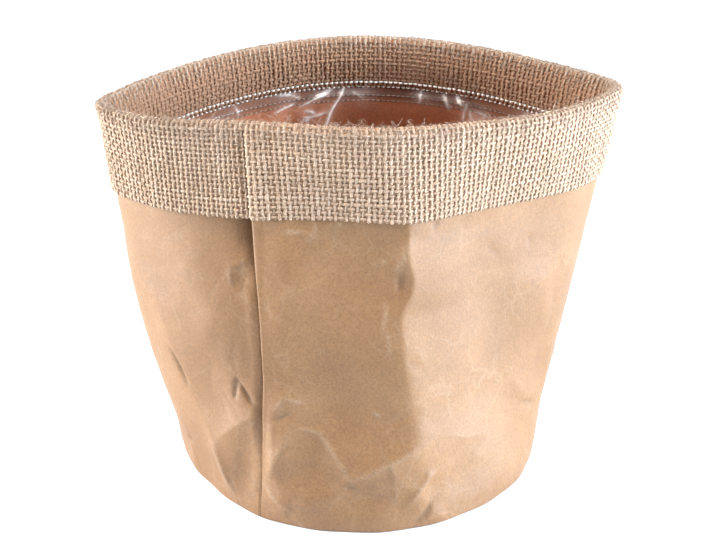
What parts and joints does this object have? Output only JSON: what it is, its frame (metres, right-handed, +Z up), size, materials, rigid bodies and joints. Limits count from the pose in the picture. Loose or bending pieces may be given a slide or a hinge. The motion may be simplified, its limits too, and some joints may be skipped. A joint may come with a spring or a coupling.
{
  "type": "paper plant bag",
  "caption": "Open-topped soft bag for a potted plant: round kraft paper wall and base, folded burlap cuff at the rim and a clear film liner sewn to the cuff's inner hem.",
  "frame": {"origin": "centre of the round base, at the level of the surface it stands on", "axes": "+Z up through the open mouth, +X along the long direction of the mouth, -Y to the front, where the side seam is left of the middle"},
  "size_m": [0.2278, 0.1635, 0.1836],
  "materials": {
    "kraft_paper": "matt, creased",
    "kraft_paper_base": "matt, creased",
    "jute_burlap": "coarse plain weave",
    "clear_film": "clear, crinkled",
    "white_thread": "twisted thread",
    "tan_thread": "twisted thread"
  },
  "bodies": {
    "root": {"paper_wall": "kraft_paper", "paper_base": "kraft_paper_base", "burlap_cuff": "jute_burlap", "clear_liner": "clear_film", "hem_stitch_upper": "white_thread", "hem_stitch_lower": "white_thread", "cuff_seam_stitch": "tan_thread", "base_seam_stitch": "tan_thread", "side_seam_stitch": "tan_thread"}
  },
  "joints": []
}
